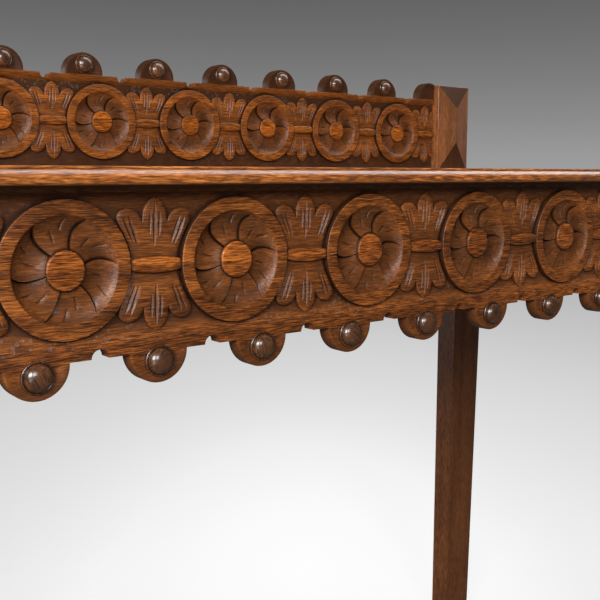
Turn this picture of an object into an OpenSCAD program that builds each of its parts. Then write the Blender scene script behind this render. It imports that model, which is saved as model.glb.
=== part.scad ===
// Oak communion table with a carved frieze on the front and both ends, and a carved gallery
// standing on the rear of the top. Millimetres, +Z up, front towards -Y.
// The origin is on the floor, under the middle of the top.

/* [Top] */
// Length of the top
top_len = 1222; // [1120:1:1400]
// Depth of the top from front to back
top_dep = 526; // [500:1:640]
// Height of the upper surface above the floor
table_h = 760; // [700:1:860]
// Thickness of the top
top_t = 16; // [15:0.5:22]
// Depth of the moulded nosing below the upper surface
nose_h = 11; // [8:0.5:13]
// Height of the flat fillet above the round of the nosing
fillet_h = 2; // [1:0.1:3]
// How far the fillet stands back from the round
fillet_in = 1.2; // [0.5:0.1:2]
// How far the hollow under the nosing runs in
cove_in = 12; // [8:0.5:14]
// Width of the front board of the top
front_board_w = 173; // [140:1:200]
// Width of the rear board of the top
rear_board_w = 178; // [140:1:200]
// Thickness of the loose tongues between the boards
tongue_t = 5; // [3:0.1:6]
// Width of the loose tongues
tongue_w = 18; // [12:0.5:24]
// Distance from the ends of the top to the ends of the tongues
tongue_stop = 45; // [30:1:80]

/* [Legs] */
// Width of a leg at its block, along the table
leg_w = 62; // [56:0.5:72]
// Depth of a leg at its block, front to back
leg_d = 38; // [36:0.5:48]
// Width of a leg at the floor
foot_w = 51; // [40:0.5:56]
// Depth of a leg at the floor
foot_d = 34; // [28:0.5:36]
// Height of the untapered block at the head of a leg
leg_block_h = 114; // [108:1:140]
// Rise of the faceted face on a front leg's block
leg_facet_rise = 6; // [3:0.5:9]
// Overhang of the top past the outer faces of the legs at the ends
end_overhang = 21; // [16:0.5:40]
// Overhang of the top past the faces of the front legs
front_overhang = 16; // [15:0.5:30]
// Overhang of the top past the faces of the rear legs
rear_overhang = 20; // [10:0.5:40]

/* [Rails] */
// Thickness of the rails
rail_t = 20; // [18:0.5:22]
// Height of the rails
rail_h = 94; // [84:1:98]
// How far the rear rail stands back from the faces of the rear legs
rear_rail_in = 3; // [1:0.5:8]
// Thickness of a tenon
tenon_t = 8; // [6:0.5:10]
// Length of a side rail's tenon
side_tenon_l = 25; // [20:0.5:27]
// Wood left in a leg between a long rail's tenon and the side rail's pegs
tenon_clear = 4.5; // [3:0.5:6]
// Height of a tenon
tenon_h = 66; // [56:1:70]
// Radius of a peg through a tenon
peg_r = 4; // [3:0.1:5]
// Distance from a tenon's shoulder to its pegs
peg_in = 12; // [9:0.5:15]
// Distance between the two pegs of a joint
peg_gap = 36; // [26:1:44]
// How far a peg runs past its tenon
peg_past = 1.5; // [0.5:0.1:2]
// Leg length of a corner block's triangle
block_w = 24; // [16:0.5:25]
// Height of a corner block
block_h = 70; // [50:1:80]

/* [Frieze] */
// Thickness of a frieze board at its rims
frieze_t = 12; // [10:0.5:14]
// Height of a frieze board above its lobes
frieze_h = 105; // [102:0.5:112]
// How far the carved rims stand back from the faces of the legs
frieze_in = 5; // [2:0.5:8]
// Depth of the carved ground below the rims
carve_d = 5; // [3:0.5:6]
// Height of the plain band along the lobed edge of a frieze
band_h = 9.5; // [6:0.5:11]
// Nominal distance between roundels
roundel_pitch = 125; // [112:1:140]
// Radius of a roundel
roundel_r = 44; // [38:0.5:46]
// Width of a roundel's rim
rim_w = 9; // [6:0.5:12]
// Radius of the button in the middle of a roundel
button_r = 12.7; // [9:0.1:16]
// Distance from the lower edge of a frieze to the centres of its roundels
roundel_up = 57.5; // [55:0.5:60]
// Wood left between the bottom of a roundel's bowl and the level of the ground
bowl_floor = 0.5; // [0.2:0.1:1]
// Height of the leaves and spindles above the ground
leaf_rise = 3.5; // [2:0.1:4]
// Width of the middle leaf of a spray
leaf_w = 15; // [10:0.5:20]
// Width of the two outer leaves of a spray
side_leaf_w = 14; // [10:0.5:18]
// Angle between the middle leaf and an outer leaf
leaf_lean = 36; // [26:1:44]
// Distance from the middle line of the spindles to the roots of the leaves
leaf_root = 4; // [2:0.5:8]
// Distance from the tips of the leaves to the edge of the ground
leaf_tip_gap = 3; // [1:0.5:6]
// Width of the spindles between the roundels
spindle_w = 9; // [6:0.5:12]
// How far the tips of a spindle run onto the rims
spindle_lap = 3; // [1:0.5:5]
// Nominal distance between the lobes of a frieze
lobe_pitch = 84; // [72:1:100]
// Radius of a lobe of a frieze
lobe_r = 21.2; // [17:0.1:24]
// Radius of the notches between the lobes
notch_r = 6; // [4:0.1:8]
// Distance from the lower edge of a frieze down to the bosses
boss_drop = 6.4; // [4:0.1:9]
// Distance from the end of the front frieze to its last leaf
front_margin = 28; // [24:0.5:40]
// Distance from the end of a side frieze to its last leaf
side_margin = 23; // [22:0.5:36]

/* [Gallery] */
// Thickness of the gallery board at its rims
gallery_t = 14; // [12:0.5:18]
// Height of the gallery board below its lobes
gallery_h = 110.5; // [106:0.5:118]
// Height of the plain band along the lobed edge of the gallery
gallery_band_h = 7; // [4:0.5:8]
// Distance from the lobed edge of the gallery down to its roundels
gallery_roundel_down = 53.3; // [52:0.1:56]
// Radius of a lobe of the gallery
gallery_lobe_r = 23.2; // [20:0.1:26]
// How far the centre of a gallery lobe lies above the lobed edge
gallery_lobe_up = 2.3; // [0:0.1:4]
// Nominal distance between the lobes of the gallery
gallery_lobe_pitch = 96; // [84:1:120]
// How far the row of gallery lobes is set to the right of the middle
gallery_lobe_shift = 14; // [0:0.5:18]
// Distance from the lobed edge of the gallery up to its bosses
gallery_boss_up = 11.5; // [6:0.1:13]
// Distance from a post to the last leaf of the gallery
gallery_margin = 18.2; // [16:0.1:30]
// Distance from the rear edge of the top to the back of the gallery board
gallery_in = 12; // [8:0.5:20]
// Width of a gallery post
post_w = 68; // [60:0.5:76]
// Depth of a gallery post
post_d = 30; // [27:0.5:34]
// Height of a gallery post
post_h = 132.5; // [126:0.5:145]
// How far the posts stand in front of the gallery's rims
post_proud = 8.5; // [6:0.5:11]
// Rise of the faceted face of a post
post_facet_rise = 7.5; // [4:0.5:10]
// Height of the lowest facet of a post
post_facet_foot = 46; // [34:1:56]
// Distance from the ends of the top to the outer faces of the posts
post_in = 40; // [30:0.5:70]
// Depth of the groove in a post that holds the gallery board
groove_d = 8; // [5:0.5:10]

/* [Turned bosses and fastenings] */
// Radius of the ring round a boss
boss_ring_r = 10.9; // [8:0.1:12]
// Thickness of the ring round a boss
boss_ring_t = 1.8; // [1:0.1:3]
// Radius of the dome of a boss
boss_dome_r = 9.2; // [6:0.1:10]
// Height of the dome above its ring
boss_dome_h = 7; // [4:0.1:8]
// Radius of the spigot behind a boss
spigot_r = 3; // [2:0.1:4]
// Length of the spigot behind a boss
spigot_l = 8; // [5:0.5:9]
// Radius of the dowels under the gallery posts
post_dowel_r = 4; // [3:0.1:5]
// Radius of the dowels under the gallery board
board_dowel_r = 3; // [2:0.1:3.5]
// Depth that a dowel enters the top
dowel_down = 11; // [8:0.5:12]
// Depth that a dowel enters the gallery
dowel_up = 20; // [14:0.5:26]
// Length of a button that holds the top
button_l = 40; // [32:1:48]
// Width of a button that holds the top
button_w = 26; // [20:1:34]
// Height of a button that holds the top
button_h = 16; // [14:0.5:20]
// Distance from the middle of a long rail to its outer buttons
button_spread = 330; // [200:5:420]
// Height of the lip of a rail above its button groove
lip_h = 8; // [6:0.5:10]
// Length of a button's tongue
button_tongue_l = 9; // [6:0.5:10]
// Shank radius of the screws
screw_r = 2.2; // [1.5:0.1:2.5]
// Head radius of the screws
screw_head_r = 4.4; // [3.5:0.1:5]
// Depth that a screw bites into the last piece
screw_bite = 8; // [5:0.5:9]

/* [Fits] */
// Gap round tenons, tongues and grooved ends
wood_gap = 0.15; // [0.05:0.05:0.3]
// Gap round pegs, dowels, spigots and screws
round_gap = 0.05; // [0.02:0.01:0.1]
// Empty depth left at the bottom of a blind hole or mortise
blind_gap = 0.5; // [0.2:0.1:1]

/* [Hidden] */
$fn = 64;
eps = 0.01;

// Levels
top_under = table_h - top_t;
frieze_low = top_under - frieze_h;
roundel_z = frieze_low + roundel_up;
rail_low = top_under - rail_h;
rail_mid = top_under - rail_h / 2;
gallery_edge = table_h + gallery_h;

// Places along and across the table
leg_out_x = top_len / 2 - end_overhang;
leg_in_x = leg_out_x - leg_w;
front_y = -top_dep / 2 + front_overhang;
front_in_y = front_y + leg_d;
rear_y = top_dep / 2 - rear_overhang;
rear_in_y = rear_y - leg_d;
side_mid_y = (front_in_y + rear_in_y) / 2;
rim_y = front_y + frieze_in;
rim_x = leg_out_x - frieze_in;
front_rail_y = rim_y + frieze_t + rail_t / 2;
rear_rail_y = rear_y - rear_rail_in - rail_t / 2;
side_rail_x = rim_x - frieze_t - rail_t / 2;
gallery_rim_y = top_dep / 2 - gallery_in - gallery_t;
post_out_x = top_len / 2 - post_in;
post_in_x = post_out_x - post_w;
post_y = gallery_rim_y - post_proud;

// Lengths between the legs and posts
front_len = 2 * leg_in_x;
side_len = rear_in_y - front_in_y;
gallery_len = 2 * post_in_x;

// Two pegs to each tenon, at these heights
peg_z = [rail_mid - peg_gap / 2, rail_mid + peg_gap / 2];
front_peg_l = front_in_y - front_rail_y + tenon_t / 2 + peg_past;
rear_peg_l = rear_y - rear_rail_y + tenon_t / 2 + peg_past;
side_peg_l = leg_out_x - side_rail_x + tenon_t / 2 + peg_past;

// The tenons of the long rails stop short of the side rails' pegs
long_tenon_l = leg_w - side_peg_l - tenon_clear;

// Buttons along the long rails
button_x = [-button_spread, 0, button_spread];
button_hole_l = button_l / 2;
screw_head_h = screw_head_r - screw_r;
frieze_screw_l = rail_t + screw_bite;
button_screw_l = button_h + screw_bite;

// Dowels under the gallery board, in its plain ground
board_dowel_y = gallery_rim_y + (carve_d + gallery_t) / 2;
post_dowel_y = post_y + post_d / 2;
post_dowel_x = post_w / 4;

// Lobes at the right end of the gallery that the post cuts into, and that have no boss
bare_lobes = 1;

oak = "saddlebrown";
oak_dark = "#4a2a16";
oak_plain = "#8a5a33";
steel = "silver";

// How many steps of about the nominal pitch fill a carved run, and the true step
function steps(run, nominal) = max(1, round(run / nominal));
// Places at the ends of those steps and at their middles, with the run set to the right by shift
function places(run, nominal, first = 0, last = 0, shift = 0) =
    [for (i = [first : steps(run, nominal) - last]) (i / steps(run, nominal) - 0.5) * run + shift];
function middles(run, nominal, shift = 0) = places(run, nominal, 0.5, 0, shift);

front_run = front_len - 2 * front_margin;
side_run = side_len - 2 * side_margin;
gallery_run = gallery_len - 2 * gallery_margin;

// Pieces that the carving is made of

// Pointed oval of two arcs, standing on its lower point
module pointed_oval(long, wide) {
    r = (long * long + wide * wide) / (4 * wide);
    intersection() {
        translate([r - wide / 2, long / 2]) circle(r = r);
        translate([wide / 2 - r, long / 2]) circle(r = r);
    }
}

// Three leaves that fan out from the spindle, above and below it
module leaf_spray(half_h) {
    leaf_l = half_h - leaf_root - leaf_tip_gap;
    for (side = [0, 1]) mirror([0, side]) translate([0, leaf_root]) {
        pointed_oval(leaf_l, leaf_w);
        for (lean = [-leaf_lean, leaf_lean]) rotate(lean) pointed_oval(leaf_l, side_leaf_w);
    }
}

// Spindle that lies between two roundels
module spindle(pitch) {
    long = pitch - 2 * roundel_r + 2 * spindle_lap;
    rotate(90) translate([0, -long / 2]) pointed_oval(long, spindle_w);
}

// Turned section of a roundel: a flat rim, a dished bowl and a flat button
module roundel() {
    bowl_r = roundel_r - rim_w;
    bowl_w = bowl_r - button_r;
    bowl_d = carve_d - bowl_floor;
    bowl_arc = (bowl_w * bowl_w + bowl_d * bowl_d) / (2 * bowl_d);
    rotate([90, 0, 0]) rotate_extrude() difference() {
        translate([0, -carve_d - eps]) square([roundel_r, carve_d + eps]);
        intersection() {
            translate([button_r, -bowl_d]) square([bowl_w, bowl_d + eps]);
            translate([button_r, bowl_arc - bowl_d]) circle(r = bowl_arc, $fn = 128);
        }
    }
}

// Carved board lying along X, its rims at Y = 0 and its lobed edge at Z = 0 with the lobes below.
// end_l is plain board past each end of the carved length, for a groove. lobe_drop is how far the
// lobes' centres lie past the edge, and shift how far the lobes are set to +X. The last bare lobes
// have no boss.
module carved_board(len, high, thick, run, centre, band, lobe, lobe_step, boss_at,
        end_l = 0, bare = 0, lobe_drop = 0, shift = 0) {
    lobe_run = run - shift;
    roundel_x = middles(run, roundel_pitch);
    leaf_x = places(run, roundel_pitch);
    lobe_x = places(lobe_run, lobe_step, 0, 0, shift);
    pitch = run / steps(run, roundel_pitch);
    leaf_half_h = min(centre - band, high - centre);
    difference() {
        union() {
            translate([-len / 2 - end_l, carve_d, 0]) cube([len + 2 * end_l, thick - carve_d, high]);
            translate([-len / 2 - end_l, 0, 0]) cube([len + 2 * end_l, thick, band]);
            intersection() {
                translate([0, thick, 0]) rotate([90, 0, 0]) linear_extrude(thick)
                    for (x = lobe_x) translate([x, -lobe_drop]) circle(r = lobe);
                translate([-len / 2, -thick, -high]) cube([len, 3 * thick, high + eps]);
            }
            for (x = roundel_x) translate([x, 0, centre]) roundel();
            intersection() {
                translate([0, carve_d + eps, 0]) rotate([90, 0, 0]) linear_extrude(leaf_rise)
                    difference() {
                        for (x = leaf_x) translate([x, centre]) {
                            leaf_spray(leaf_half_h);
                            spindle(pitch);
                        }
                        for (x = roundel_x) translate([x, centre]) circle(r = roundel_r - eps);
                    }
                translate([-len / 2, -thick, 0]) cube([len, 3 * thick, high]);
            }
        }
        for (x = middles(lobe_run, lobe_step, shift)) translate([x, thick + eps, 0]) rotate([90, 0, 0])
            cylinder(r = notch_r, h = thick + 2 * eps);
        for (x = places(lobe_run, lobe_step, 0, bare, shift))
            translate([x, spigot_l + blind_gap, -boss_at]) rotate([90, 0, 0])
                cylinder(r = spigot_r + round_gap, h = thick);
    }
}

// Turned boss with a spigot, its ring seated at Y = 0
module boss() {
    dome_arc = (boss_dome_r * boss_dome_r + boss_dome_h * boss_dome_h) / (2 * boss_dome_h);
    rotate([90, 0, 0]) rotate_extrude() {
        translate([0, -spigot_l]) square([spigot_r, spigot_l + eps]);
        square([boss_ring_r, boss_ring_t]);
        intersection() {
            translate([0, boss_ring_t + boss_dome_h - dome_arc]) circle(r = dome_arc);
            translate([0, boss_ring_t - eps]) square([boss_dome_r, boss_dome_h + 2 * eps]);
        }
    }
}

// Four facets that rise from an upright rectangle to a ridge, towards -Y, the lowest as tall as foot
module facets(w, h, rise, foot) {
    intersection() {
        translate([-w / 2, 0, 0]) rotate([90, 0, 90]) linear_extrude(w)
            polygon([[0, 0], [0, h], [-rise, h - w / 2], [-rise, foot]]);
        linear_extrude(h) polygon([[-w / 2, 0], [0, -rise], [w / 2, 0]]);
    }
}

// Screw with a countersunk head at Z = 0, pointing up
module screw(long) {
    cylinder(r1 = screw_head_r, r2 = screw_r, h = screw_head_h);
    cylinder(r = screw_r, h = long);
}

// Hole for that screw, open below
module screw_hole(long) {
    gap = round_gap;
    translate([0, 0, -eps]) cylinder(r = screw_r + gap, h = long + blind_gap + eps);
    cylinder(r1 = screw_head_r + gap, r2 = screw_r + gap, h = screw_head_h);
    translate([0, 0, -eps]) cylinder(r = screw_head_r + gap, h = 2 * eps);
}

// Top

// Moulded edge of the top in section: X runs outwards to the edge at 0, Y is the height.
// Under the upper fillet is a half round, and under that a hollow that runs in to the underside.
module edge_section(inner) {
    round_h = nose_h - fillet_h;
    round_x = -round_h / 2;
    translate([-inner, -fillet_h]) square([inner - fillet_in, fillet_h]);
    translate([round_x, -fillet_h - round_h / 2]) circle(d = round_h);
    difference() {
        translate([-inner, -top_t]) square([inner + round_x, top_t - fillet_h + eps]);
        translate([round_x, -nose_h]) hollow(cove_in + round_x, top_t - nose_h);
    }
}

// Hollow below and inside the point at 0, level at that point and falling as it runs in
module hollow(run, fall) {
    r = (run * run + fall * fall) / (2 * fall);
    intersection() {
        translate([-run, -fall - eps]) square([run + eps, fall + eps]);
        translate([0, -r]) circle(r = r);
    }
}

module top_blank() {
    intersection() {
        translate([-top_len / 2, -top_dep / 2, table_h]) rotate([90, 0, 90]) linear_extrude(top_len)
            mirror([1, 0]) edge_section(top_dep);
        intersection_for (side = [0, 1])
            mirror([side, 0, 0]) translate([top_len / 2, top_dep / 2, table_h]) rotate([90, 0, 0])
                linear_extrude(top_dep) edge_section(top_len);
    }
}

front_joint_y = -top_dep / 2 + front_board_w;
rear_joint_y = top_dep / 2 - rear_board_w;
tongue_z = table_h - top_t / 2;

module tongue_groove(y) {
    long = top_len - 2 * tongue_stop + 2 * blind_gap;
    wide = tongue_w + 2 * wood_gap;
    high = tongue_t + 2 * wood_gap;
    translate([-long / 2, y - wide / 2, tongue_z - high / 2]) cube([long, wide, high]);
}

module top_board(y0, y1) {
    color(oak) difference() {
        intersection() {
            top_blank();
            translate([-top_len, y0, 0]) cube([2 * top_len, y1 - y0, 2 * table_h]);
        }
        tongue_groove(front_joint_y);
        tongue_groove(rear_joint_y);
        button_places() button_screw_hole();
        gallery_dowel_holes();
    }
}

module top_front_board() { top_board(-top_dep, front_joint_y); }
module top_middle_board() { top_board(front_joint_y, rear_joint_y); }
module top_rear_board() { top_board(rear_joint_y, top_dep); }

module top_tongues() {
    long = top_len - 2 * tongue_stop;
    color(oak_plain) for (y = [front_joint_y, rear_joint_y])
        translate([-long / 2, y - tongue_w / 2, tongue_z - tongue_t / 2]) cube([long, tongue_w, tongue_t]);
}

// Legs and rails

// Right rear leg without its mortises: the block is square, the outer and inner-facing sides taper
module leg_blank() {
    block_z = top_under - leg_block_h;
    intersection() {
        translate([leg_in_x, rear_y, 0]) rotate([90, 0, 0]) linear_extrude(leg_d)
            polygon([[0, 0], [foot_w, 0], [leg_w, block_z], [leg_w, top_under], [0, top_under]]);
        translate([leg_in_x, rear_y, 0]) rotate([90, 0, 90]) linear_extrude(leg_w)
            polygon([[0, 0], [0, top_under], [-leg_d, top_under], [-leg_d, block_z], [-foot_d, 0]]);
    }
}

module rear_leg() {
    color(oak) difference() {
        leg_blank();
        long_rail_tenons(rear_rail_y, wood_gap, blind_gap);
        side_rail_tenons(wood_gap, blind_gap);
        rear_pegs(round_gap);
        side_pegs(round_gap);
    }
}

module front_leg() {
    color(oak) difference() {
        union() {
            translate([0, rear_y + front_y, 0]) mirror([0, 1, 0]) leg_blank();
            translate([leg_in_x + leg_w / 2, front_y + eps, top_under - frieze_h])
                facets(leg_w, frieze_h, leg_facet_rise, leg_w / 2);
        }
        long_rail_tenons(front_rail_y, wood_gap, blind_gap);
        side_rail_tenons(wood_gap, blind_gap);
        front_pegs(round_gap);
        side_pegs(round_gap);
    }
}

module front_right_leg() { front_leg(); }
module front_left_leg() { mirror([1, 0, 0]) front_leg(); }
module rear_right_leg() { rear_leg(); }
module rear_left_leg() { mirror([1, 0, 0]) rear_leg(); }

// Bar that makes the two tenons of a long rail, grown for a mortise
module long_rail_tenons(y, side_gap = 0, end_gap = 0) {
    long = front_len + 2 * (long_tenon_l + end_gap);
    thick = tenon_t + 2 * side_gap;
    high = tenon_h + 2 * side_gap;
    translate([-long / 2, y - thick / 2, rail_mid - high / 2]) cube([long, thick, high]);
}

// Bars that make the tenons of both side rails, grown for their mortises
module side_rail_tenons(side_gap = 0, end_gap = 0) {
    long = side_len + 2 * (side_tenon_l + end_gap);
    thick = tenon_t + 2 * side_gap;
    high = tenon_h + 2 * side_gap;
    for (side = [0, 1]) mirror([side, 0, 0])
        translate([side_rail_x - thick / 2, side_mid_y - long / 2, rail_mid - high / 2])
            cube([thick, long, high]);
}

module long_rail(y) {
    translate([-front_len / 2, y - rail_t / 2, rail_low]) cube([front_len, rail_t, rail_h]);
    long_rail_tenons(y);
}

module front_rail() {
    color(oak_plain) difference() {
        long_rail(front_rail_y);
        front_pegs(round_gap);
        button_places() button_groove();
        front_screw_places() screw_hole(frieze_screw_l);
    }
}

module rear_rail() {
    color(oak) difference() {
        long_rail(rear_rail_y);
        rear_pegs(round_gap);
        button_places() button_groove();
    }
}

module right_rail() {
    color(oak_plain) difference() {
        union() {
            translate([side_rail_x - rail_t / 2, front_in_y, rail_low]) cube([rail_t, side_len, rail_h]);
            intersection() {
                side_rail_tenons();
                translate([0, -top_dep, 0]) cube([top_len, 2 * top_dep, table_h]);
            }
        }
        side_pegs(round_gap);
        button_places() button_groove();
        side_screw_places() screw_hole(frieze_screw_l);
    }
}

module left_rail() { mirror([1, 0, 0]) right_rail(); }

// Peg that runs down from Z = 0, or the hole for it when it is given a gap
module peg(long, gap) {
    end_gap = gap > 0 ? blind_gap : 0;
    past = gap > 0 ? eps : 0;
    translate([0, 0, -long - end_gap]) cylinder(r = peg_r + gap, h = long + end_gap + past);
}

// Pegs through the tenons: the front ones from behind, the rear and side ones from outside
module front_pegs(gap = 0) {
    for (side = [0, 1], z = peg_z) mirror([side, 0, 0])
        translate([leg_in_x + peg_in, front_in_y, z]) rotate([-90, 0, 0]) peg(front_peg_l, gap);
}

module rear_pegs(gap = 0) {
    for (side = [0, 1], z = peg_z) mirror([side, 0, 0])
        translate([leg_in_x + peg_in, rear_y, z]) rotate([-90, 0, 0]) peg(rear_peg_l, gap);
}

module side_pegs(gap = 0) {
    for (side = [0, 1], z = peg_z, y = [front_in_y - peg_in, rear_in_y + peg_in]) mirror([side, 0, 0])
        translate([leg_out_x, y, z]) rotate([0, 90, 0]) peg(side_peg_l, gap);
}

module front_rail_pegs() { color(oak_dark) front_pegs(); }
module rear_rail_pegs() { color(oak_dark) rear_pegs(); }
module side_rail_pegs() { color(oak_dark) side_pegs(); }

// Corner block glued between a leg and a side rail
module corner_block(y, turn) {
    color(oak_plain) translate([side_rail_x - rail_t / 2, y, rail_mid - block_h / 2]) linear_extrude(block_h)
        polygon([[0, 0], [-block_w, 0], [0, turn * block_w]]);
}

module front_right_block() { corner_block(front_in_y, 1); }
module front_left_block() { mirror([1, 0, 0]) corner_block(front_in_y, 1); }
module rear_right_block() { corner_block(rear_in_y, -1); }
module rear_left_block() { mirror([1, 0, 0]) corner_block(rear_in_y, -1); }

// Friezes

module frieze(len, run) {
    carved_board(len, frieze_h, frieze_t, run, roundel_up, band_h, lobe_r, lobe_pitch, boss_drop);
}

module at_right_side() {
    translate([rim_x, side_mid_y, 0]) rotate(90) children();
}

module front_frieze() {
    color(oak) difference() {
        translate([0, rim_y, frieze_low]) frieze(front_len, front_run);
        front_screw_places() screw_hole(frieze_screw_l);
    }
}

module right_frieze() {
    color(oak) difference() {
        at_right_side() translate([0, 0, frieze_low]) frieze(side_len, side_run);
        side_screw_places() screw_hole(frieze_screw_l);
    }
}

module left_frieze() { mirror([1, 0, 0]) right_frieze(); }

module frieze_bosses(run) {
    color(oak_dark) for (x = places(run, lobe_pitch)) translate([x, 0, frieze_low - boss_drop]) boss();
}

module front_bosses() { translate([0, rim_y, 0]) frieze_bosses(front_run); }
module right_bosses() { at_right_side() frieze_bosses(side_run); }
module left_bosses() { mirror([1, 0, 0]) right_bosses(); }

// Screws that hold the friezes, one behind each roundel's button
module front_screw_places() {
    for (x = middles(front_run, roundel_pitch))
        translate([x, front_rail_y + rail_t / 2, roundel_z]) rotate([90, 0, 0]) children();
}

module side_screw_places() {
    for (y = middles(side_run, roundel_pitch))
        translate([side_rail_x - rail_t / 2, side_mid_y + y, roundel_z]) rotate([0, 90, 0]) children();
}

module frieze_screws() {
    color(steel) {
        front_screw_places() screw(frieze_screw_l);
        for (side = [0, 1]) mirror([side, 0, 0]) side_screw_places() screw(frieze_screw_l);
    }
}

// Gallery

module gallery_board() {
    color(oak) difference() {
        translate([0, gallery_rim_y, gallery_edge]) mirror([0, 0, 1])
            carved_board(gallery_len, gallery_h, gallery_t, gallery_run, gallery_roundel_down, gallery_band_h,
                gallery_lobe_r, gallery_lobe_pitch, gallery_boss_up, groove_d, bare_lobes,
                gallery_lobe_up, gallery_lobe_shift);
        gallery_dowel_holes();
    }
}

module post() {
    groove_l = groove_d + blind_gap;
    color(oak) difference() {
        union() {
            translate([post_in_x, post_y, table_h]) cube([post_w, post_d, post_h]);
            translate([post_in_x + post_w / 2, post_y + eps, table_h])
                facets(post_w, post_h, post_facet_rise, post_facet_foot);
        }
        translate([post_in_x - eps, gallery_rim_y - wood_gap, table_h - eps])
            cube([groove_l + eps, gallery_t + 2 * wood_gap, gallery_h + wood_gap + eps]);
        gallery_dowel_holes();
    }
}

module gallery_right_post() { post(); }
module gallery_left_post() { mirror([1, 0, 0]) post(); }

module gallery_bosses() {
    boss_x = places(gallery_run - gallery_lobe_shift, gallery_lobe_pitch, 0, bare_lobes, gallery_lobe_shift);
    color(oak_dark) for (x = boss_x)
        translate([x, gallery_rim_y, gallery_edge + gallery_boss_up]) boss();
}

module gallery_dowel(r, gap) {
    end_gap = gap > 0 ? blind_gap : 0;
    translate([0, 0, table_h - dowel_down - end_gap])
        cylinder(r = r + gap, h = dowel_down + dowel_up + 2 * end_gap);
}

module board_dowels(gap = 0) {
    for (x = places(gallery_run, roundel_pitch, 1, 1))
        translate([x, board_dowel_y, 0]) gallery_dowel(board_dowel_r, gap);
}

module post_dowels(gap = 0) {
    for (side = [0, 1]) mirror([side, 0, 0]) for (x = [0, post_dowel_x])
        translate([post_in_x + post_w / 2 + x, post_dowel_y, 0]) gallery_dowel(post_dowel_r, gap);
}

module gallery_dowel_holes() {
    board_dowels(round_gap);
    post_dowels(round_gap);
}

module gallery_board_dowels() { color(oak_plain) board_dowels(); }
module gallery_post_dowels() { color(oak_plain) post_dowels(); }

// Buttons that hold the top to the rails

// Puts its children at each button. There Y = 0 is the rail's inner face, with +Y into the table,
// and Z = 0 is the underside of the top.
module button_places() {
    for (x = button_x) translate([x, front_rail_y + rail_t / 2, top_under]) children();
    for (x = button_x) translate([x, rear_rail_y - rail_t / 2, top_under]) rotate(180) children();
    for (side = [-1, 1])
        translate([side * (side_rail_x - rail_t / 2), 0, top_under]) rotate(side * 90) children();
}

module button_groove() {
    wide = button_w + 2 * blind_gap;
    deep = button_tongue_l + blind_gap;
    translate([-wide / 2, -deep, -button_h - wood_gap]) cube([wide, deep + eps, button_h + wood_gap - lip_h]);
}

module button_screw_hole() {
    translate([0, button_hole_l, -button_h]) screw_hole(button_screw_l);
}

module top_buttons() {
    color(oak_plain) button_places() difference() {
        union() {
            translate([-button_w / 2, wood_gap, -button_h]) cube([button_w, button_l, button_h]);
            translate([-button_w / 2, -button_tongue_l, -button_h])
                cube([button_w, button_tongue_l + 2 * wood_gap, button_h - lip_h]);
        }
        button_screw_hole();
    }
}

module button_screws() {
    color(steel) button_places() translate([0, button_hole_l, -button_h]) screw(button_screw_l);
}

top_front_board();
top_middle_board();
top_rear_board();
top_tongues();
front_left_leg();
front_right_leg();
rear_left_leg();
rear_right_leg();
front_rail();
rear_rail();
left_rail();
right_rail();
front_frieze();
left_frieze();
right_frieze();
front_bosses();
left_bosses();
right_bosses();
gallery_board();
gallery_left_post();
gallery_right_post();
gallery_bosses();
gallery_board_dowels();
gallery_post_dowels();
front_rail_pegs();
rear_rail_pegs();
side_rail_pegs();
front_left_block();
front_right_block();
rear_left_block();
rear_right_block();
top_buttons();
button_screws();
frieze_screws();
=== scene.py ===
# Oak communion table: a carved frieze of whirling roundels and leaf sprays, a lobed edge
# with turned bosses, and a carved gallery between two faceted posts.
import math

import bmesh
import bpy
import numpy as np
from mathutils import Euler, Matrix, Vector
from mathutils.geometry import delaunay_2d_cdt


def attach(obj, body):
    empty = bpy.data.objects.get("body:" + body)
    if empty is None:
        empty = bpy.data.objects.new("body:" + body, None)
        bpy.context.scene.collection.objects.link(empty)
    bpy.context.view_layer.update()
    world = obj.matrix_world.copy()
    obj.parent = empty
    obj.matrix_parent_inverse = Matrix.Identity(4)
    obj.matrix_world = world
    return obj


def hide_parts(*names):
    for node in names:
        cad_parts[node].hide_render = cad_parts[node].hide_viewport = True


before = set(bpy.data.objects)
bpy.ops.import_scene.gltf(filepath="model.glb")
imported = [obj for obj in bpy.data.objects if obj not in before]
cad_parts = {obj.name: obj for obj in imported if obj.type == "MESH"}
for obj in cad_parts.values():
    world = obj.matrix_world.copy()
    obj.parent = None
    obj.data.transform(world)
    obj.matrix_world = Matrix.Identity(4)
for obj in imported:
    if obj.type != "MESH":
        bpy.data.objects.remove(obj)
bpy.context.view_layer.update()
MM = 0.001

# Sizes in millimetres, the same as those of the solids
TOP_LEN, TOP_DEP, TABLE_H, TOP_T = 1222, 526, 760, 16
FRONT_JOINT_Y, REAR_JOINT_Y = -90, 85
FRIEZE_Y, FRIEZE_X, FRIEZE_Z, FRIEZE_EDGE, FRIEZE_FAR, FRIEZE_T = -242, 585, 696.5, -57.5, 47.5, 12
SIDE_MIDDLE_Y = -2
GALLERY_Y, GALLERY_Z, GALLERY_EDGE, GALLERY_FAR, GALLERY_T = 237, 817.2, -53.3, 57.2, 14
FRIEZE_BOSS_DROP, GALLERY_BOSS_DROP = 6.4, 11.5
GROUND = 5
POST_TOP, POST_FOOT = 892.5, 46
ROUNDEL_R, RIM_W, BUTTON_R = 44, 9.2, 12.7
BOSS_RING_R, BOSS_RING_T, BOSS_DOME_R, BOSS_DOME_H = 10.9, 1.8, 9.2, 7


# Shapes: arrays of points in millimetres with lists of faces

def join(*shapes):
    """One shape out of several."""
    points, faces, count = [], [], 0
    for p, f in shapes:
        points.append(p)
        faces += [tuple(i + count for i in face) for face in f]
        count += len(p)
    return np.vstack(points), faces


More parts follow.
